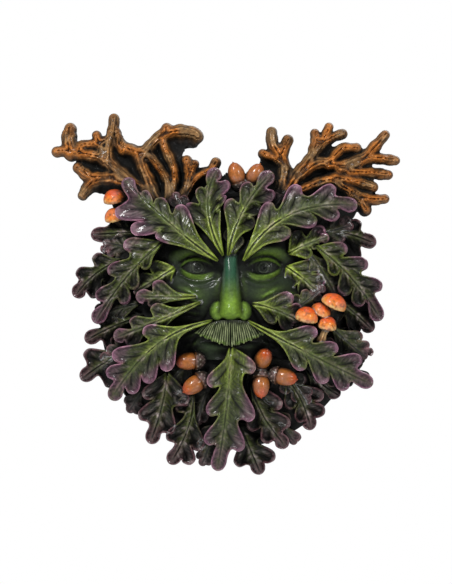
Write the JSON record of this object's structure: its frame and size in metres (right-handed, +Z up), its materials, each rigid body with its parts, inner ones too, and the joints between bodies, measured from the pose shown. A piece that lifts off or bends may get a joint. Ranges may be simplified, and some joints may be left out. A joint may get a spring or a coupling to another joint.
{
  "type": "green man wall mask",
  "caption": "Cast wall mask: a calm face in a wreath of oak leaves, with antlers, acorns and mushrooms, on a flat back with a hanging recess.",
  "frame": {"origin": "on the flat back that lies on the wall, behind the bridge of the nose", "axes": "+Z up, +X to the viewer's right, the face looks along -Y and the flat back is at y = 0 with its normal +Y"},
  "size_m": [0.1447, 0.0435, 0.1493],
  "materials": {
    "painted_resin": "hand painted and varnished cast resin"
  },
  "bodies": {
    "root": {"green_man_mask": "painted_resin"}
  },
  "joints": []
}
